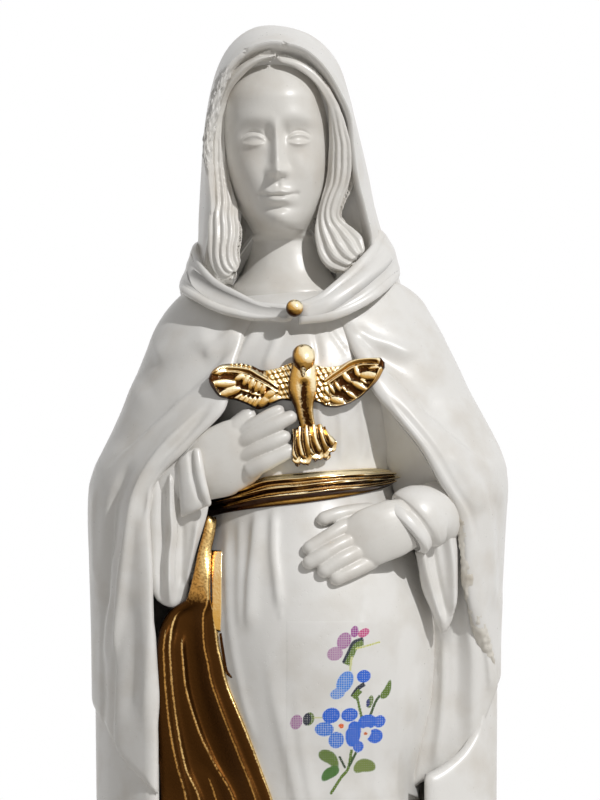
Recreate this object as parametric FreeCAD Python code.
import FreeCAD, Part
import math
import os

# A standing Madonna about 300 mm tall, cast in plaster and assembled from separate castings: a hollow gown on an
# oval plinth, a two-tier mantle, a head with hair and a veil over it, two sleeves with their hands, a gilt dove,
# a gilt sash, a bronzed drape, a brooch and a printed flower transfer. Short dowels and wires key the castings.
#
# Millimetres. Z is up, the figure faces -Y, and +X is the figure's left side. The origin is the middle of the
# underside. Every outline is a curve through a few stations, so a station is the size to change.

# ---------------------------------------------------------------- driving dimensions
glue_gap = 0.25          # room for glue between two castings
pin_clearance = 0.1      # a dowel or tenon in its hole, on the radius

# plinth and what closes its underside
felt_thickness = 1.5
felt_margin = 3.0        # the felt stops this far inside the plinth's edge
plinth_height = 18.0     # top of the plinth above the table
plinth_half_width = 50.0
plinth_half_depth = 40.0
plinth_shoulder = 5.0    # radius of the plinth's upper edge
spigot_height = 6.0      # raised boss that centres the gown
filling_hole_radius = 8.0

# gown: heights of its stations
knee_z = 70.0
thigh_z = 128.0
belly_z = 170.0
waist_z = 197.0
bust_z = 220.0
shoulder_z = 235.0
neckline_z = 243.0

# gown: half widths, then depths in front of the axis and behind it
hem_half_width = 35.0
knee_half_width = 30.0
thigh_half_width = 26.5
belly_half_width = 28.5
waist_half_width = 22.5
bust_half_width = 25.0
shoulder_half_width = 22.0
neckline_half_width = 13.0
hem_front = 29.0
knee_front = 25.5
thigh_front = 26.5
belly_front = 31.0
waist_front = 24.0
bust_front = 23.0
shoulder_front = 17.0
neckline_front = 12.5
hem_back = 24.0
waist_back = 19.0
neckline_back = 10.5
belly_shift = 2.0        # the belly turns a little to the figure's left
gown_wall = 5.0
gown_fold_depth = 1.6    # depth of the hanging folds at the hem
gown_fold_count = 10

# mantle: heights of its stations
elbow_z = 196.0
upper_arm_z = 215.0
collar_z = 241.5

# mantle: half widths and depths
mantle_hem_half_width = 44.0
elbow_half_width = 46.3
upper_arm_half_width = 39.6
mantle_top_half_width = 25.5
mantle_hem_front = 31.0
elbow_front = 31.0
upper_arm_front = 28.0
mantle_top_front = 15.0
mantle_hem_back = 34.0
elbow_back = 31.0
upper_arm_back = 27.0
mantle_top_back = 17.0

# mantle: how far its two front edges stand from the middle
front_edge_low = 31.0
right_edge_elbow = 30.5
right_edge_chest = 18.0
left_edge_fall = 43.0
left_edge_elbow = 35.0
left_edge_chest = 17.5
edge_at_collar = 5.5

# mantle: its upper tier ends in a hem that dips towards the front
tier_side_z = 154.0
tier_quarter_z = 141.0
tier_front_z = 132.0
tier_middle_z = 122.0
mantle_fold_depth = 1.1  # depth of the hanging folds at the mantle's hem
mantle_fold_count = 13
tier_step = 0.8          # the lower tier lies this far inside the upper

# bronzed drape on the figure's right, and the fall of cloth from the left forearm
drape_top_z = 190.0
drape_thickness = 2.2
drape_edge_top = -17.0   # its free edge at the top, at thigh height and at the hem
drape_edge_thigh = -5.0
drape_edge_hem = 12.0
drape_edge_belly = -13.5     # the same edge half-way up the belly
drape_lobe_z = 170.0         # above this the drape narrows to a strip at the waist
drape_strip_top = -20.5      # the strip's edge at its top
drape_ridge_height = 1.0
drape_ridges = [             # (share of the width at hem, thigh, belly and lobe; highest level; size)
    (0.20, 0.23, 0.16, 0.14, 165.0, 1.0),
    (0.36, 0.35, 0.25, 0.24, 169.0, 0.8),
    (0.68, 0.66, 0.46, 0.44, 163.0, 1.0),
    (0.86, 0.86, 0.82, 0.80, 184.0, 1.0),
]
fall_top_z = 192.0
fall_inner = 25.5        # where the fall meets the gown
fall_depth = 14.0        # how far in front of the axis it hangs

# sash
sash_height = 6.2
sash_thickness = 1.8
sash_reach = 21.0        # half its length across the front
sash_slope = 0.16        # it climbs towards the figure's left

# head
head_shift = -3.4        # the head stands a little to the figure's right
head_tilt = 2.5          # degrees, the crown leaning to the figure's right
head_pivot_z = 250.0
chin_z = 255.5
face_middle_z = 272.0
crown_z = 295.0
neck_radius = 8.0
neck_base_half_width = 11.5
jaw_half_width = 9.6
face_half_width = 12.4
skull_front = 16.8
skull_back = 14.5
nose_length = 2.6
tenon_radius = 6.5
tenon_length = 9.0
hair_thickness = 1.8
hairline_half_width = 10.6
hairline_z = 289.0
lock_radius = 3.6

# veil
veil_top_z = 300.0
veil_temple_z = 283.5
veil_cheek_z = 266.0
veil_brow_half_width = 15.8
veil_cheek_half_width = 19.0
veil_neck_half_width = 20.9
veil_gap = 0.4           # between the hair and the veil
veil_front = 13.5
veil_brow_front = 17.5
veil_back = 20.0
veil_opening_half_width = 13.6
veil_opening_top_z = 293.0
lock_reach = 16.2        # half the distance across the two locks beside the neck
collar_half_width = 22.0
collar_front = 18.5
collar_back = 18.0
collar_roll_height = 5.6 # half heights of the rolled collar at the side and at the brooch
collar_front_height = 3.0
collar_roll_depth = 3.2
collar_front_z = 236.8
collar_side_z = 246.5
brooch_radius = 1.9

# sleeves, hands and dove
cuff_wall = 1.6
wrist_radius = 4.3
finger_radius = 1.55
wire_radius = 0.8
wire_length = 9.0
dove_x = 1.6
dove_chest_z = 214.0
dove_span = 38.0
dove_standoff = 1.2
dove_head_radius = 2.3
dove_peg_radius = 1.2
dove_peg_length = 6.0
transfer_thickness = 0.2
film_lift = 0.2         # lacquer under the film
transfer_half_width = 10.5
transfer_bottom_z = 130.0
transfer_top_z = 169.0
transfer_x = 9.5
dowel_radius = 1.5
dowel_length = 14.0

parts = {}


# ---------------------------------------------------------------- curves and lofts
def through(stations, at):
    """Value at a place on a smooth curve through (place, value) stations, without overshoot."""
    stations = sorted(stations)
    if at <= stations[0][0]:
        return stations[0][1]
    if at >= stations[-1][0]:
        return stations[-1][1]
    rises = []
    for (a, va), (b, vb) in zip(stations, stations[1:]):
        rises.append((vb - va) / max(b - a, 1e-6))
    slopes = [rises[0]]
    for low, high in zip(rises, rises[1:]):
        slopes.append(0.0 if low * high <= 0 else 2 * low * high / (low + high))
    slopes.append(rises[-1])
    k = max(i for i in range(len(stations) - 1) if stations[i][0] <= at)
    (a, va), (b, vb) = stations[k], stations[k + 1]
    span = max(b - a, 1e-6)
    s = (at - a) / span
    return (
        va * (1 + 2 * s) * (1 - s) ** 2
        + slopes[k] * span * s * (1 - s) ** 2
        + vb * s * s * (3 - 2 * s)
        - slopes[k + 1] * span * s * s * (1 - s)
    )


def dome(z, low, top, power=2.0):
    """Share of the full width left at height z of a dome that starts at low and closes at top."""
    u = max(0.0, min(1.0, (z - low) / (top - low)))
    return max(0.0, 1 - u ** power) ** (1 / power)


def dome_levels(low, top, count):
    """Heights that climb a dome in equal turns and stop just short of its top."""
    return [low + (top - low) * math.sin(math.pi / 2 * 0.93 * i / (count - 1)) for i in range(count)]


def spread(low, high, count):
    """count evenly spaced values from low to high."""
    return [low + (high - low) * i / (count - 1) for i in range(count)]


def ring(points):
    """Closed smooth wire through points."""
    curve = Part.BSplineCurve()
    curve.interpolate(Points=[FreeCAD.Vector(*p) for p in points], PeriodicFlag=True)
    return Part.Wire(curve.toShape())


def open_curve(points):
    curve = Part.BSplineCurve()
    curve.interpolate(Points=[FreeCAD.Vector(*p) for p in points])
    return curve.toShape()


def strip(outer, inner):
    """Closed wire of two long curves, joined by straight edges at their ends."""
    first = Part.makeLine(FreeCAD.Vector(*outer[-1]), FreeCAD.Vector(*inner[-1]))
    last = Part.makeLine(FreeCAD.Vector(*inner[0]), FreeCAD.Vector(*outer[0]))
    return Part.Wire([open_curve(outer), first, open_curve(inner[::-1]), last])


def loft(wires):
    return Part.makeLoft(wires, True, False)


def ellipse_ring(centre, across, side, up, half_side, half_up, count=12):
    """Points of an ellipse about centre, in the plane of the unit directions side and up."""
    points = []
    for k in range(count):
        a = 2 * math.pi * k / count
        p = centre + side * (half_side * math.cos(a)) + up * (half_up * math.sin(a)) + across
        points.append((p.x, p.y, p.z))
    return points


def limb(stations, grow=0.0, round_end=True):
    """Solid through elliptical stations (x, y, z, half width, half thickness); thickness is measured to the front."""
    centres = [FreeCAD.Vector(*s[:3]) for s in stations]
    wires = []
    nil = FreeCAD.Vector(0, 0, 0)
    for k, s in enumerate(stations):
        ahead = centres[min(k + 1, len(stations) - 1)] - centres[max(k - 1, 0)]
        ahead.normalize()
        side = ahead.cross(FreeCAD.Vector(0, 1, 0))
        side.normalize()
        up = side.cross(ahead)
        wires.append(ring(ellipse_ring(centres[k], nil, side, up, s[3] + grow, s[4] + grow)))
    if round_end:
        ahead = centres[-1] - centres[-2]
        ahead.normalize()
        tip = centres[-1] + ahead * (0.6 * min(stations[-1][3], stations[-1][4]) + grow)
        wires.append(Part.Vertex(tip))
    return loft(wires)


def largest(shape):
    """The biggest solid of a cut shape; slivers are left off."""
    return max(shape.Solids, key=lambda s: s.Volume)


def save(name, shape):
    parts[name] = shape


# ---------------------------------------------------------------- gown
def gown_levels():
    width = [
        (plinth_height, hem_half_width),
        (knee_z, knee_half_width),
        (thigh_z, thigh_half_width),
        (belly_z, belly_half_width),
        (waist_z, waist_half_width),
        (bust_z, bust_half_width),
        (shoulder_z, shoulder_half_width),
        (neckline_z, neckline_half_width),
    ]
    front = [
        (plinth_height, hem_front),
        (knee_z, knee_front),
        (thigh_z, thigh_front),
        (belly_z, belly_front),
        (waist_z, waist_front),
        (bust_z, bust_front),
        (shoulder_z, shoulder_front),
        (neckline_z, neckline_front),
    ]
    back = [(plinth_height, hem_back), (waist_z, waist_back), (neckline_z, neckline_back)]
    shift = [(plinth_height, 0.0), (thigh_z, 0.5), (belly_z, belly_shift), (bust_z, 0.0)]
    return width, front, back, shift


def gown_point(t, z, grow=0.0):
    """Point of the gown at turn t from the front and height z, moved outwards by grow."""
    width, front, back, shift = gown_levels()
    depth = through(front if math.cos(t) > 0 else back, z)
    hanging = max(0.0, min(1.0, (thigh_z - z) / (thigh_z - plinth_height)))
    facing = max(0.0, (math.cos(t) - 0.45) / 0.55) * max(0.0, 2 * math.sin(t)) ** 2
    out = grow + gown_fold_depth * hanging * facing * math.cos(gown_fold_count * t)
    x = through(shift, z) + (through(width, z) + out) * math.sin(t)
    return (x, -(depth + out) * math.cos(t), z)


def gown_turn(x, z, grow=0.0, most=0.95):
    """Turn at which the front of the gown stands at x."""
    width, _, _, shift = gown_levels()
    share = (x - through(shift, z)) / (through(width, z) + grow)
    return math.asin(max(-most, min(most, share)))


def gown_heights(low, high):
    """Heights of the gown's sections between two levels, closer together at the shoulders."""
    bands = [
        (plinth_height, thigh_z, 7),
        (thigh_z, waist_z, 7),
        (waist_z, shoulder_z, 5),
        (shoulder_z, neckline_z, 3),
    ]
    inner = []
    for start, end, count in bands:
        inner += [z for z in spread(start, end, count) if low + 0.6 < z < high - 0.6]
    return [low] + sorted(set(inner)) + [high]


def gown_body(low, high, grow, around=40):
    """Solid gown; the points of a section crowd to the front, where its folds are."""
    wires = []
    for z in gown_heights(low, high):
        turns = [2 * math.pi * k / around for k in range(around)]
        wires.append(ring([gown_point(t - 0.5 * math.sin(t), z, grow) for t in turns]))
    return loft(wires)


def gown():
    """Hollow casting, open underneath, with a socket for the neck tenon and a hole for the dove's peg."""
    shell = gown_body(plinth_height, neckline_z, 0.0)
    hollow = gown_body(plinth_height - 1, bust_z, -gown_wall, around=20)
    socket = Part.makeCylinder(
        tenon_radius + pin_clearance,
        tenon_length + 2,
        FreeCAD.Vector(0, 0, neckline_z - tenon_length),
    )
    dowel_hole = Part.makeCylinder(
        dowel_radius + pin_clearance,
        dowel_length / 2 + 1,
        FreeCAD.Vector(0, 0, neckline_z - tenon_length - dowel_length / 2 - 1),
    )
    return shell.cut(hollow).cut(socket).cut(dowel_hole).cut(dove_peg(pin_clearance))


# ---------------------------------------------------------------- mantle
def mantle_levels():
    width = [
        (plinth_height, mantle_hem_half_width),
        (belly_z, (mantle_hem_half_width + elbow_half_width) / 2),
        (elbow_z, elbow_half_width),
        (upper_arm_z, upper_arm_half_width),
        (collar_z, mantle_top_half_width),
    ]
    front = [
        (plinth_height, mantle_hem_front),
        (elbow_z, elbow_front),
        (upper_arm_z, upper_arm_front),
        (collar_z, mantle_top_front),
    ]
    back = [
        (plinth_height, mantle_hem_back),
        (elbow_z, elbow_back),
        (upper_arm_z, upper_arm_back),
        (collar_z, mantle_top_back),
    ]
    return width, front, back


def mantle_point(t, z, grow=0.0):
    """Point of the mantle; its folds hang at the sides and back and fade out below the shoulders."""
    width, front, back = mantle_levels()
    depth = through(front if math.cos(t) > 0 else back, z)
    reach = max(0.0, min(1.0, (upper_arm_z - z) / (upper_arm_z - tier_side_z)))
    behind = max(0.0, min(1.0, 0.35 - math.cos(t)))
    out = grow + mantle_fold_depth * reach * behind * math.cos(mantle_fold_count * t)
    return ((through(width, z) + out) * math.sin(t), -(depth + out) * math.cos(t), z)


def mantle_edges(z):
    """X of the figure's right edge (negative) and left edge of the mantle at height z."""
    right = [
        (plinth_height, -front_edge_low),
        (belly_z, -front_edge_low),
        (elbow_z, -right_edge_elbow),
        (bust_z, -right_edge_chest),
        (collar_z, -edge_at_collar),
    ]
    left = [
        (tier_side_z, left_edge_fall),
        (elbow_z, left_edge_elbow),
        (bust_z, left_edge_chest),
        (collar_z, edge_at_collar),
    ]
    return through(right, z), through(left, z)


def mantle_wire(z, grow, around, lower):
    """Open ring of cloth: its outer line, and an inner line one glue gap off the gown."""
    width = through(mantle_levels()[0], z)
    right, left = (-front_edge_low, front_edge_low) if lower else mantle_edges(z)
    start = math.asin(min(0.985, left / width)) - grow / width
    end = 2 * math.pi + math.asin(max(-0.985, right / width)) + grow / width
    outer = [mantle_point(t, z, grow) for t in spread(start, end, around)]
    gap = glue_gap - grow
    inner_start = gown_turn(left, z, gap)
    inner_end = 2 * math.pi + gown_turn(right, z, gap)
    inner = [gown_point(t, z, gap) for t in spread(inner_start, inner_end, around)]
    return strip(outer, inner)


def mantle_body(low, high, grow=0.0, around=24, lower=False):
    return loft([mantle_wire(z, grow, around, lower) for z in gown_heights(low, high)])


def below_tier_hem(drop=0.0):
    """Everything under the upper tier's hem: a block whose top dips from the sides to the front and back."""
    reach = 2 * plinth_half_width
    side = mantle_hem_half_width + 3
    half = [(0.0, tier_middle_z), (0.62, tier_front_z), (0.87, tier_quarter_z), (1.0, tier_side_z)]
    crest = [(-side * x, 0, z - drop) for x, z in half[::-1]] + [(side * x, 0, z - drop) for x, z in half[1:]]
    crest = [(x, -reach, z) for x, _, z in crest]
    left, right = crest[0], crest[-1]
    low = -10.0
    edges = [
        open_curve(crest),
        Part.makeLine(FreeCAD.Vector(*right), FreeCAD.Vector(reach, -reach, right[2])),
        Part.makeLine(FreeCAD.Vector(reach, -reach, right[2]), FreeCAD.Vector(reach, -reach, low)),
        Part.makeLine(FreeCAD.Vector(reach, -reach, low), FreeCAD.Vector(-reach, -reach, low)),
        Part.makeLine(FreeCAD.Vector(-reach, -reach, low), FreeCAD.Vector(-reach, -reach, left[2])),
        Part.makeLine(FreeCAD.Vector(-reach, -reach, left[2]), FreeCAD.Vector(*left)),
    ]
    face = Part.Face(Part.Wire(edges))
    return face.extrude(FreeCAD.Vector(0, 2 * reach, 0))


def mantle_tiers():
    upper = largest(mantle_body(tier_middle_z - 4, collar_z).cut(below_tier_hem()))
    inset = mantle_body(plinth_height + glue_gap, tier_side_z + 4, -tier_step, around=40, lower=True)
    lower = largest(inset.common(below_tier_hem(glue_gap)))
    return upper, lower


# ---------------------------------------------------------------- cloth lying on the gown
def drape_edges(z):
    """X of the drape's hidden edge beside the mantle and of its free edge."""
    free = through(
        [
            (plinth_height, drape_edge_hem),
            (thigh_z, drape_edge_thigh),
            (thigh_z + 22, drape_edge_belly),
            (thigh_z + 32, drape_edge_top),
            (drape_top_z, drape_edge_top),
        ],
        z,
    )
    right, _ = mantle_edges(z)
    wall = right + 2 * glue_gap + 0.7
    low = mantle_edges(drape_lobe_z)[0] + 2 * glue_gap + 0.7
    strip_edge = through([(drape_lobe_z, low), (drape_lobe_z + 5, -25.0), (drape_top_z, drape_strip_top)], z)
    return max(wall, strip_edge), free


def drape_ridge(s, width, z):
    """Height of the ridges at share s of the drape's width: steep on one side, slow on the other."""
    height = 0.0
    for hem, thigh, belly, lobe, top, size in drape_ridges:
        places = [(plinth_height, hem), (thigh_z, thigh), (thigh_z + 18, belly), (drape_lobe_z, lobe)]
        off = (s - through(places, z)) * width
        fade = max(0.0, min(1.0, (top + 5 - z) / 5))
        height += fade * size * drape_ridge_height * math.exp(-(off / (2.6 if off < 0 else 1.0)) ** 2)
    return height


def drape_wire(z, count=32):
    """Section of the bronzed drape; in front it follows the gown, beside the mantle it leans on the mantle's edge."""
    wall, free = drape_edges(z)
    lean = -mantle_point(math.asin(wall / through(mantle_levels()[0], z)), z)[1] - 2.4
    strip_share = max(0.0, min(1.0, (z - drape_lobe_z + 4) / 8))
    inner = [gown_point(t, z, glue_gap) for t in spread(gown_turn(wall, z, glue_gap, most=0.9), gown_turn(free, z, glue_gap), 16)]
    outer = []
    for s in spread(0.0, 1.0, count):
        x = wall * (1 - s) + free * s
        on_gown = -gown_point(gown_turn(x, z), z, 1.2)[1]
        leaning = (on_gown + lean + math.sqrt((on_gown - lean) ** 2 + 6.0)) / 2
        depth = leaning * (1 - strip_share) + (on_gown + 0.8) * strip_share
        outer.append((x, -depth - drape_ridge(s, free - wall, z), z))
    return strip(outer, inner)


def drape():
    """The drape, with seats for the sleeve that hangs over its top and for the mantle beside it."""
    body = loft([drape_wire(z) for z in gown_heights(plinth_height + glue_gap, drape_top_z)])
    return seated(body, [right_sleeve_body(glue_gap), mantle_grown()])


def fall_wire(z):
    """Section of the cloth that falls from the left forearm, between the gown and the mantle."""
    _, left = mantle_edges(z)
    wall = left - 2 * glue_gap
    wall_turn = gown_turn(wall, z, glue_gap, most=0.93)
    near_turn = gown_turn(fall_inner, z, glue_gap, most=0.8)
    inner = [gown_point(t, z, glue_gap) for t in spread(near_turn, wall_turn, 6)]
    start = gown_point(near_turn, z, glue_gap + 0.6)
    outer = []
    for s in spread(0.0, 1.0, 6):
        x = start[0] * (1 - s) + wall * s
        y = start[1] * (1 - s) ** 2 - fall_depth * (1 - (1 - s) ** 2)
        outer.append((x, y, z))
    return strip(outer, inner)


def fall():
    """The fall of cloth, cut off at the tier's hem, with a seat for the left sleeve."""
    body = loft([fall_wire(z) for z in spread(tier_middle_z, fall_top_z, 12)])
    return seated(body, [left_sleeve_body(1.5 * glue_gap), below_tier_hem(), mantle_grown()])


def sash_point(s, lift, up):
    """Point of the sash at share s of its length (-1 to 1), lift off the gown and up from its middle line."""
    x = s * sash_reach + 1.0
    z = waist_z + sash_slope * x + up
    t = gown_turn(x, z, lift)
    return gown_point(t, z, lift)


def sash():
    """Gathered band round the front of the waist."""
    wires = []
    for s in spread(-1.0, 1.0, 15):
        half = sash_height / 2 * (1 - 0.25 * s * s)
        outer = []
        for u in (-1.0, -0.7, 0.0, 0.7, 1.0):
            lift = glue_gap + 0.3 + (sash_thickness - 0.3) * (1 - u * u) ** 0.5
            outer.append(sash_point(s, lift, half * u))
        inner = [sash_point(s, glue_gap, half * u) for u in (-1.0, -0.5, 0.0, 0.5, 1.0)]
        wires.append(strip(outer, inner))
    return loft(wires)


def transfer():
    """Printed film on the belly: a thin oval shell that follows the gown."""
    wires = []
    levels = spread(transfer_bottom_z, transfer_top_z, 12)
    middle = (transfer_bottom_z + transfer_top_z) / 2
    half_height = (transfer_top_z - transfer_bottom_z) / 2
    for z in levels:
        share = (z - middle) / half_height
        half = transfer_half_width * math.sqrt(max(0.06, 1 - share ** 4))
        low = gown_turn(transfer_x - half, z)
        high = gown_turn(transfer_x + half, z)
        turns = spread(low, high, 7)
        outer = [gown_point(t, z, film_lift + transfer_thickness) for t in turns]
        inner = [gown_point(t, z, film_lift) for t in turns]
        wires.append(strip(outer, inner))
    return loft(wires)


# ---------------------------------------------------------------- head, hair and veil
def tilted(point):
    """A head point turned by the head's tilt and moved to its place."""
    a = math.radians(-head_tilt)
    x, y, z = point
    up = z - head_pivot_z
    lean = min(1.0, max(0.0, (z - neckline_z) / (chin_z - neckline_z)))
    return (
        x * math.cos(a) + up * math.sin(a) * lean + head_shift * lean,
        y,
        z - x * math.sin(a) * lean,
    )


def head_levels():
    low = neckline_z + glue_gap
    width = [
        (low, neck_base_half_width),
        (low + 3, neck_radius + 1.2),
        (chin_z - 4, neck_radius + 0.2),
        (chin_z, jaw_half_width * 0.86),
        (chin_z + 6, jaw_half_width * 1.12),
        (face_middle_z, face_half_width),
    ]
    front = [
        (low, neck_base_half_width - 0.5),
        (low + 3, neck_radius + 0.5),
        (chin_z - 2.5, neck_radius + 2.2),
        (chin_z, skull_front * 0.9),
        (chin_z + 3, skull_front * 1.01),
        (face_middle_z, skull_front),
    ]
    back = [
        (low, neck_base_half_width - 2),
        (chin_z - 4, neck_radius - 0.5),
        (chin_z, skull_back * 0.72),
        (face_middle_z, skull_back),
    ]
    return width, front, back


def face_relief(x, z):
    """How far the features stand out: a nose in the middle third, eye hollows above it, lips and chin below."""
    third = (hairline_z - 1.5 - chin_z) / 3
    nose_base = chin_z + third
    brow = chin_z + 2 * third

    def hill(dx, dz, wide, high):
        return math.exp(-((dx / wide) ** 2) - (dz / high) ** 2)

    rise = through(
        [(nose_base - 2.5, 0.0), (nose_base + 1.2, nose_length), (brow - 1.0, 0.6), (brow + 4, 0.0)], z
    )
    nose = rise * math.exp(-((x / 1.9) ** 2))
    hollows = -1.3 * (hill(x - 4.9, z - brow + 3.2, 2.8, 2.4) + hill(x + 4.9, z - brow + 3.2, 2.8, 2.4))
    lips = 0.9 * hill(x, z - nose_base + third * 0.42, 3.6, 1.8)
    chin = 0.8 * hill(x, z - chin_z - 2.6, 3.6, 2.2)
    return nose + hollows + lips + chin


def head_point(t, z, grow=0.0, features=True):
    """Point of the head; grow makes room for the hair and moves the crown up with it."""
    width, front, back = head_levels()
    facing = math.cos(t)
    share = dome(z, face_middle_z + 4, crown_z + grow, 2.2)
    depth = through(front if facing > 0 else back, z)
    x = (through(width, z) + grow) * share * math.sin(t)
    y = -(depth + grow) * share * facing
    if features and facing > 0:
        y -= face_relief(x, z) * min(1.0, facing * 2)
    return tilted((x, y, z))


def head_body(low, grow=0.0, features=True, count=14, around=24, high=None):
    """Lofted head. Where the face is modelled, the points of a section crowd to the front."""
    start = face_middle_z + 4
    levels = spread(low, high or start, count)
    if high is None:
        levels += dome_levels(start, crown_z + grow, 7)[1:]
    wires = []
    for z in levels:
        turns = [2 * math.pi * k / around for k in range(around)]
        turns = [t - 0.5 * math.sin(t) for t in turns] if features else turns
        wires.append(ring([head_point(t, z, grow, features) for t in turns]))
    if high is None:
        wires.append(Part.Vertex(*tilted((0, 0, crown_z + grow))))
    return loft(wires)


def head():
    """Face and neck in one casting, with a tenon for the gown's socket and a hole for the dowel."""
    skull = head_body(neckline_z + glue_gap, count=18, around=32)
    tenon = Part.makeCylinder(
        tenon_radius, tenon_length + 1, FreeCAD.Vector(0, 0, neckline_z + glue_gap - tenon_length)
    )
    hole = Part.makeCylinder(
        dowel_radius + pin_clearance,
        dowel_length / 2 + 1,
        FreeCAD.Vector(0, 0, neckline_z - tenon_length),
    )
    return skull.fuse(tenon.cut(hole))


def hair_lock(side, grow=0.0):
    """Wavy lock beside the neck; side is -1 on the figure's right."""
    out = lock_reach - lock_radius
    return limb(
        [
            (head_shift + side * (out - 2.4), -6.0, chin_z + 12, 1.8, 2.0),
            (head_shift + side * (out - 1.4), -8.5, chin_z + 5, lock_radius * 0.7, 2.6),
            (head_shift + side * out, -11.0, chin_z - 1, lock_radius, 3.2),
            (head_shift + side * (out - 0.3), -12.5, chin_z - 6, lock_radius * 0.8, 2.8),
        ],
        grow,
    )


def window_turn(z, half_width, top_z, grow):
    """Turn of the edge of the opening round the face: upright sides under a half-round arch."""
    spring = top_z - half_width * 0.95
    half = half_width * dome(z, spring, top_z)
    share = dome(z, face_middle_z + 4, crown_z + grow, 2.2)
    width = (through(head_levels()[0], z) + grow) * max(0.05, share)
    return math.asin(min(0.93, half / width))


def hair_wire(z, side):
    """Section of one half of the hair, from the edge of the face to the middle of the back."""
    start = max(window_turn(z, hairline_half_width, hairline_z, hair_thickness), 0.015)
    turns = [side * t for t in spread(start, math.pi - 0.015, 16)]
    outer = [head_point(t, z, hair_thickness, False) for t in turns]
    inner = [head_point(t, z, glue_gap, False) for t in turns]
    return strip(outer, inner)


def hair(side):
    """Half of the parted hair with the lock that falls beside the neck."""
    start = face_middle_z + 4
    levels = spread(chin_z + 4, start, 7) + dome_levels(start, crown_z - 1.0, 7)[1:]
    half = loft([hair_wire(z, side) for z in levels])
    neck = head_body(neckline_z, glue_gap, False, count=8, around=20, high=chin_z + 18)
    lock = seated(hair_lock(side), [neck])
    return largest(half.fuse(lock))


veil_bottom_z = collar_side_z + collar_roll_height + glue_gap


def veil_levels():
    """Half width of the veil, its middle and its depths, by height, below its domed crown."""
    width = [
        (veil_bottom_z, veil_neck_half_width),
        (veil_cheek_z, veil_cheek_half_width),
        (veil_temple_z, veil_brow_half_width),
        (veil_top_z, veil_brow_half_width - 0.5),
    ]
    middle = [
        (veil_bottom_z, -1.1),
        (veil_cheek_z, -2.6),
        (veil_temple_z, head_shift - 0.4),
        (veil_top_z, head_shift - 0.9),
    ]
    front = [(veil_bottom_z, veil_front * 0.95), (veil_cheek_z, veil_front), (veil_temple_z, veil_brow_front)]
    back = [(veil_bottom_z, veil_back), (veil_cheek_z, veil_back), (veil_temple_z, veil_back * 0.92)]
    return width, middle, front, back


def veil_point(t, z, grow=0.0):
    width, middle, front, back = veil_levels()
    share = dome(z, veil_temple_z, veil_top_z + grow, 2.2)
    x = (through(width, z) + grow) * share * math.sin(t)
    y = -(through(front if math.cos(t) > 0 else back, z) + grow) * share * math.cos(t)
    return (through(middle, z) + x, y, z)


def veil_room(t, z):
    """Inside of the veil: it closes on the hair above the chin and clears the locks below it."""
    low = chin_z + 4
    width = [(veil_bottom_z, lock_reach + glue_gap), (low, face_half_width + hair_thickness + 1.0)]
    back = [(veil_bottom_z, neck_radius + 1.5), (low, skull_back * 0.84 + hair_thickness + 0.5)]
    around_hair = head_point(t, max(z, low), hair_thickness + veil_gap, False)
    if z >= chin_z + 12:
        return (around_hair[0], around_hair[1], z)
    share = max(0.0, min(1.0, (z - low) / 8))
    depth = through(back, z) if math.cos(t) < 0 else 9.0
    x = head_shift + through(width, z) * math.sin(t)
    y = -depth * math.cos(t)
    return (x * (1 - share) + around_hair[0] * share, y * (1 - share) + around_hair[1] * share, z)


def veil_wire(z):
    """Section of the veil from one edge of its opening round the back to the other."""
    middle = through(veil_levels()[1], z)
    opening = window_turn(z, veil_opening_half_width, veil_opening_top_z, hair_thickness)
    low = through([(veil_bottom_z, 1.2), (chin_z + 8, 0.0)], z)
    start = max(opening, low, 0.02)
    width = through(veil_levels()[0], z) * dome(z, veil_temple_z, veil_top_z, 2.2)
    ends = []
    for side in (1, -1):
        edge = veil_room(side * start, z)[0] - middle
        ends.append(math.asin(max(-0.9, min(0.9, edge * 1.03 / width))))
    outer = [veil_point(t, z) for t in spread(ends[0], 2 * math.pi + ends[1], 24)]
    inner = [veil_room(t, z) for t in spread(start, 2 * math.pi - start, 24)]
    return strip(outer, inner)


def veil():
    """Hood over the head, open at the face, with a domed crown. It ends on top of its own rolled collar."""
    spring = veil_opening_top_z - 2.5
    levels = spread(veil_bottom_z, veil_temple_z, 9) + spread(veil_temple_z, spring + 0.5, 4)[1:]
    hood = loft([veil_wire(z) for z in levels])
    wires = []
    for z in dome_levels(spring, veil_top_z, 6):
        wires.append(ring([veil_point(2 * math.pi * k / 20, z, 0.05) for k in range(20)]))
    wires.append(Part.Vertex(through(veil_levels()[1], veil_top_z), 0, veil_top_z))
    space = head_body(face_middle_z, hair_thickness + veil_gap, False, count=3, around=20)
    crown = loft(wires).cut(space)
    return seated(hood.fuse(crown), [hair_lock(-1, glue_gap), hair_lock(1, glue_gap)])


def collar_roll(side):
    """Rolled hem of the veil: it runs from behind the neck over one shoulder to the brooch."""
    centres = []
    for s in spread(0.0, 1.0, 11):
        turn = side * math.pi * (1 - s) + side * 0.06 * s
        facing = math.cos(turn)
        x = collar_half_width * math.sin(turn)
        y = -facing * (collar_front if facing > 0 else collar_back)
        drop = (collar_side_z - collar_front_z) * max(0.0, facing) ** 1.2
        centres.append(FreeCAD.Vector(x, y, collar_side_z - drop - 0.5 * max(0.0, -facing)))
    centres[0].x = side * glue_gap / 2
    wires = []
    for k, centre in enumerate(centres):
        ahead = centres[min(k + 1, len(centres) - 1)] - centres[max(k - 1, 0)]
        if k == 0:
            ahead = FreeCAD.Vector(side, 0, 0)
        ahead.normalize()
        outward = FreeCAD.Vector(0, 0, 1).cross(ahead) * side
        outward.normalize()
        up = ahead.cross(outward)
        high = through([(0, collar_roll_height - 0.8), (5, collar_roll_height), (10, collar_front_height)], k)
        wires.append(ring(ellipse_ring(centre, outward * 0, outward, up, collar_roll_depth, high)))
    return loft(wires)


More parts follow.
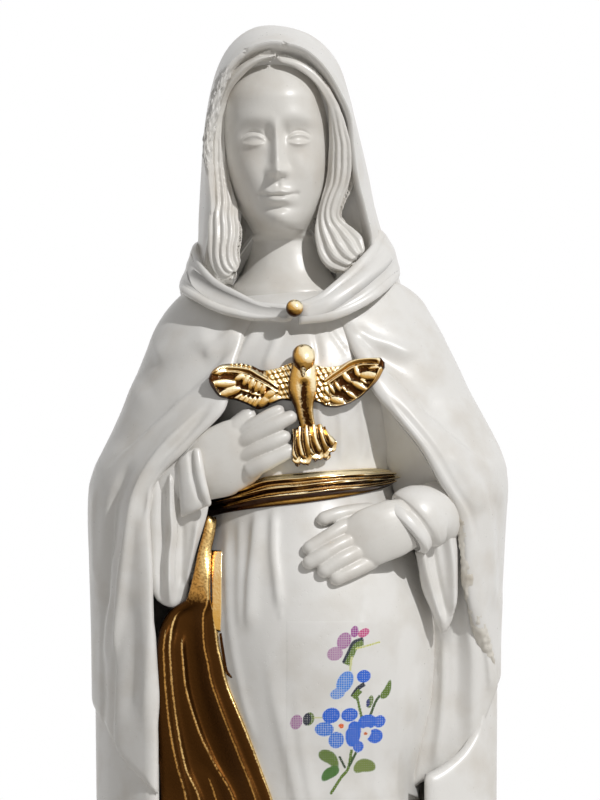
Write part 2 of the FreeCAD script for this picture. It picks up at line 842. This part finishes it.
# ---------------------------------------------------------------- sleeves and hands
def right_sleeve_body(grow=0.0):
    """Forearm with its turned cuff, and the wide end of the sleeve that hangs under it."""
    forearm = limb(
        [
            (-38.0, -12.0, 196.0, 7.4, 5.6),
            (-31.0, -16.8, 198.2, 7.2, 5.2),
            (-25.5, -19.4, 199.8, 7.0, 4.8),
            (-20.6, -20.9, 201.2, 6.6, 4.0),
        ],
        grow,
        round_end=False,
    )
    bag = limb(
        [
            (-24.6, -19.4, 200.0, 4.8, 3.6),
            (-25.3, -19.8, 190.0, 4.5, 2.9),
            (-26.0, -19.8, 181.0, 3.4, 2.4),
            (-25.4, -19.9, 174.6, 1.9, 1.8),
        ],
        grow,
    )
    return forearm.fuse(bag)


def left_sleeve_body(grow=0.0):
    """Forearm with its ringed cuff, and the pointed end of the sleeve."""
    forearm = limb(
        [
            (37.0, -10.5, 190.0, 7.4, 6.5),
            (31.0, -16.0, 191.2, 7.8, 7.0),
            (26.6, -20.1, 192.0, 7.9, 7.0),
            (23.6, -23.1, 191.6, 6.9, 5.6),
        ],
        grow,
        round_end=False,
    )
    tip = limb(
        [
            (30.5, -18.5, 194.0, 5.0, 4.2),
            (31.0, -19.2, 184.0, 4.5, 2.9),
            (32.0, -19.2, 174.0, 3.0, 2.2),
            (32.5, -19.2, 168.0, 1.5, 1.5),
        ],
        grow,
    )
    return forearm.fuse(tip)


right_wrist = (-21.2, -20.1, 201.7)
left_wrist = (25.2, -21.0, 190.8)


def on_gown(x, z, lift):
    """Point in front of the gown at x and z."""
    return (x, gown_point(gown_turn(x, z), z)[1] - lift, z)


def digit(points, root, tip, grow):
    """Finger through points (x, z, lift) off the gown, from its root radius to its tip radius."""
    stations = []
    for k, (x, z, lift) in enumerate(points):
        radius = root + (tip - root) * k / (len(points) - 1)
        stations.append((*on_gown(x, z, lift), radius, radius))
    return limb(stations, grow)


def right_hand_body(grow=0.0):
    """Palm, four closed fingers that point to the dove, and the thumb."""
    palm = limb(
        [
            (-25.0, -17.4, 200.4, wrist_radius * 1.1, 3.0),
            (-20.4, -19.8, 202.2, wrist_radius * 1.2, 3.2),
            (-15.6, -21.8, 205.2, 6.8, 2.9),
            (-11.6, -23.0, 207.8, 7.2, 2.4),
            (-9.2, -23.6, 209.2, 6.0, 1.8),
        ],
        grow,
    )
    digits = [
        digit([(-12.4, 208.8, 2.6), (-7.4, 211.9, 3.0), (-0.6, 214.9, 2.2)], 1.9, 1.3, grow),
        digit([(-11.4, 206.0, 2.8), (-6.6, 208.4, 3.0), (-1.8, 210.6, 2.0)], 1.8, 1.3, grow),
        digit([(-10.0, 203.6, 2.6), (-5.6, 205.4, 2.8), (-1.0, 207.5, 1.8)], 1.8, 1.3, grow),
        digit([(-9.4, 201.6, 1.9), (-5.4, 202.8, 1.8), (-1.2, 204.8, 1.2)], 1.7, 1.2, grow),
        digit([(-17.0, 209.6, 4.0), (-14.4, 212.8, 2.4), (-11.4, 215.2, 1.4)], 2.4, 1.6, grow),
    ]
    return palm.fuse(digits)


def left_hand_body(grow=0.0):
    """Palm, four spread fingers on the belly, and the thumb along its upper edge."""
    palm = limb(
        [
            (28.5, -18.6, 191.6, wrist_radius * 1.15, 3.0),
            (23.4, -22.4, 190.2, wrist_radius * 1.3, 3.2),
            (19.0, -24.6, 188.7, 6.2, 2.8),
            (15.2, -25.8, 187.2, 6.0, 2.2),
            (12.6, -26.4, 186.0, 4.8, 1.6),
        ],
        grow,
    )
    digits = [
        digit([(17.0, 193.4, 1.6), (10.0, 192.6, 1.5), (4.8, 191.0, 0.9)], 1.9, 1.3, grow),
        digit([(15.4, 191.2, 2.4), (8.4, 188.6, 2.2), (1.8, 184.6, 1.0)], 1.8, 1.3, grow),
        digit([(15.8, 188.0, 2.6), (8.4, 185.2, 2.2), (1.8, 181.6, 1.0)], 1.8, 1.3, grow),
        digit([(16.4, 185.2, 2.4), (9.8, 182.6, 1.8), (5.0, 179.7, 0.9)], 1.8, 1.3, grow),
        digit([(17.6, 182.8, 2.0), (12.0, 180.0, 1.4), (7.7, 178.2, 0.8)], 1.8, 1.2, grow),
    ]
    return palm.fuse(digits)


def wire_pin(wrist, inward, grow=0.0):
    """Short wire that keys a hand into its sleeve."""
    direction = FreeCAD.Vector(*inward)
    direction.normalize()
    start = FreeCAD.Vector(*wrist) - direction * (wire_length * 0.5)
    return Part.makeCylinder(wire_radius + grow, wire_length + 2 * grow, start - direction * grow, direction)


right_wire_way = (1.0, -0.5, 0.4)
left_wire_way = (-1.0, -0.75, -0.3)


# ---------------------------------------------------------------- dove and brooch
def dove_peg(grow=0.0):
    y = gown_point(gown_turn(dove_x, dove_chest_z), dove_chest_z)[1]
    start = FreeCAD.Vector(dove_x, y - dove_standoff - 2.5, dove_chest_z)
    return Part.makeCylinder(
        dove_peg_radius + grow, dove_peg_length + 2.5 + dove_standoff, start, FreeCAD.Vector(0, 1, 0)
    )


def dove_body(grow=0.0):
    """Spread dove, head up and tail down, lying on the breast of the gown."""
    x = dove_x
    y = gown_point(gown_turn(x, dove_chest_z), dove_chest_z)[1] - dove_standoff
    z = dove_chest_z
    torso = limb(
        [
            (x, y - 4.4, z + 12.5, 1.9, 1.9),
            (x, y - 3.6, z + 9.0, 2.7, 2.7),
            (x + 0.2, y - 3.0, z + 4.0, 2.9, 2.8),
            (x + 0.8, y - 3.2, z - 1.0, 1.7, 2.2),
        ],
        grow,
    )
    skull = Part.makeSphere(dove_head_radius + grow, FreeCAD.Vector(x - 0.1, y - 5.4, z + 12.8))
    beak = limb([(x, y - 6.6, z + 12.0, 1.0, 1.0), (x, y - 8.4, z + 9.6, 0.5, 0.5)], grow)
    tail = limb(
        [
            (x + 0.8, y - 3.4, z + 0.5, 1.9, 2.0),
            (x + 1.4, y - 5.0, z - 4.5, 3.9, 2.2),
            (x + 1.8, y - 4.4, z - 10.0, 4.9, 1.8),
        ],
        grow,
    )
    wings = []
    for side in (-1, 1):
        stations = [(0.08, 5.0, 2.6, 1.5), (0.42, 6.7, 4.2, 1.3), (0.68, 8.0, 4.4, 1.2), (0.93, 9.6, 2.4, 1.0)]
        reach = dove_span / 2
        wings.append(limb([(x + side * s * reach, y - 3.4 + 1.8 * s, z + h, w, d) for s, h, w, d in stations], grow))
    return torso.fuse([skull, beak, tail] + wings)


def brooch():
    ball = Part.makeSphere(brooch_radius, FreeCAD.Vector(*brooch_centre))
    return ball


brooch_centre = (-0.5, -23.6, 237.6)


# ---------------------------------------------------------------- seats shared by several castings
cache = {}


def gown_grown():
    """The gown above the belly, larger by the glue gap, for cutting seats."""
    if "gown" not in cache:
        cache["gown"] = gown_body(belly_z, neckline_z + glue_gap, glue_gap)
    return cache["gown"]


def mantle_grown():
    """The mantle's upper tier, larger by the glue gap, for cutting seats."""
    if "mantle" not in cache:
        cache["mantle"] = mantle_body(tier_middle_z - 4, collar_z + glue_gap, glue_gap)
    return cache["mantle"]


def seated(body, supports):
    """A casting cut back to one glue gap from what it lies on."""
    for support in supports:
        body = body.cut(support)
    return largest(body)


# ---------------------------------------------------------------- plinth
def plinth():
    """Oval base with a rounded shoulder, a boss for the gown and a filling hole."""
    curve = Part.Ellipse(FreeCAD.Vector(0, 0, felt_thickness), plinth_half_width, plinth_half_depth)
    slab = Part.Face(Part.Wire(curve.toShape())).extrude(FreeCAD.Vector(0, 0, plinth_height - felt_thickness))
    top_edges = [e for e in slab.Edges if e.BoundBox.ZMin > plinth_height - 0.01]
    slab = slab.makeFillet(plinth_shoulder, top_edges)
    grow = -(gown_wall + pin_clearance)
    boss = gown_body(plinth_height - 1, plinth_height + spigot_height, grow, around=20)
    hole = Part.makeCylinder(filling_hole_radius, plinth_height + spigot_height + 5)
    return slab.fuse(boss).cut(hole)


def filling_plug():
    radius = filling_hole_radius - pin_clearance
    return Part.makeCylinder(radius, plinth_height - 2, FreeCAD.Vector(0, 0, felt_thickness + 0.2))


def felt_pad():
    curve = Part.Ellipse(
        FreeCAD.Vector(0, 0, 0), plinth_half_width - felt_margin, plinth_half_depth - felt_margin
    )
    return Part.Face(Part.Wire(curve.toShape())).extrude(FreeCAD.Vector(0, 0, felt_thickness))


# ---------------------------------------------------------------- build
save("plinth", plinth())
save("filling_plug", filling_plug())
save("felt_pad", felt_pad())
save("gown", gown())
upper_tier, lower_tier = mantle_tiers()
save("mantle", upper_tier)
save("mantle_lower_tier", lower_tier)
save("head", head())
save("hair_right", hair(-1))
save("hair_left", hair(1))
save("veil", veil())
brooch_room = Part.makeSphere(brooch_radius + glue_gap, FreeCAD.Vector(*brooch_centre))
for name, side in (("veil_roll_right", -1), ("veil_roll_left", 1)):
    roll = collar_roll(side)
    supports = [gown_grown(), mantle_grown(), hair_lock(side, glue_gap), brooch_room]
    save(name, seated(roll, supports))
save("brooch", brooch())
save("sash", seated(sash(), [
    right_hand_body(glue_gap),
    right_sleeve_body(glue_gap),
    left_sleeve_body(glue_gap),
]))
save("bronzed_drape", drape())
save("forearm_fall", fall())
save("flower_transfer", transfer())
save("neck_dowel", Part.makeCylinder(
    dowel_radius,
    dowel_length,
    FreeCAD.Vector(0, 0, neckline_z - tenon_length - dowel_length / 2),
))
save("right_wrist_wire", wire_pin(right_wrist, right_wire_way))
save("left_wrist_wire", wire_pin(left_wrist, left_wire_way))
save("right_hand", seated(right_hand_body(), [
    gown_grown(),
    mantle_grown(),
    wire_pin(right_wrist, right_wire_way, pin_clearance),
]))
save("left_hand", seated(left_hand_body(), [
    gown_grown(),
    mantle_grown(),
    wire_pin(left_wrist, left_wire_way, pin_clearance),
]))
save("right_sleeve", seated(right_sleeve_body(), [
    gown_grown(),
    mantle_grown(),
    right_hand_body(glue_gap),
    wire_pin(right_wrist, right_wire_way, pin_clearance),
]))
save("left_sleeve", seated(left_sleeve_body(), [
    gown_grown(),
    mantle_grown(),
    left_hand_body(glue_gap),
    wire_pin(left_wrist, left_wire_way, pin_clearance),
]))
save("dove", seated(dove_body().fuse(dove_peg()), [
    gown_grown().cut(dove_peg(0.01)),
    right_hand_body(glue_gap),
]))

os.makedirs("parts", exist_ok=True)
for name, shape in parts.items():
    shape.exportStep("parts/" + name + ".step")
    print(name, shape.isValid(), len(shape.Solids), round(shape.Volume, 1))
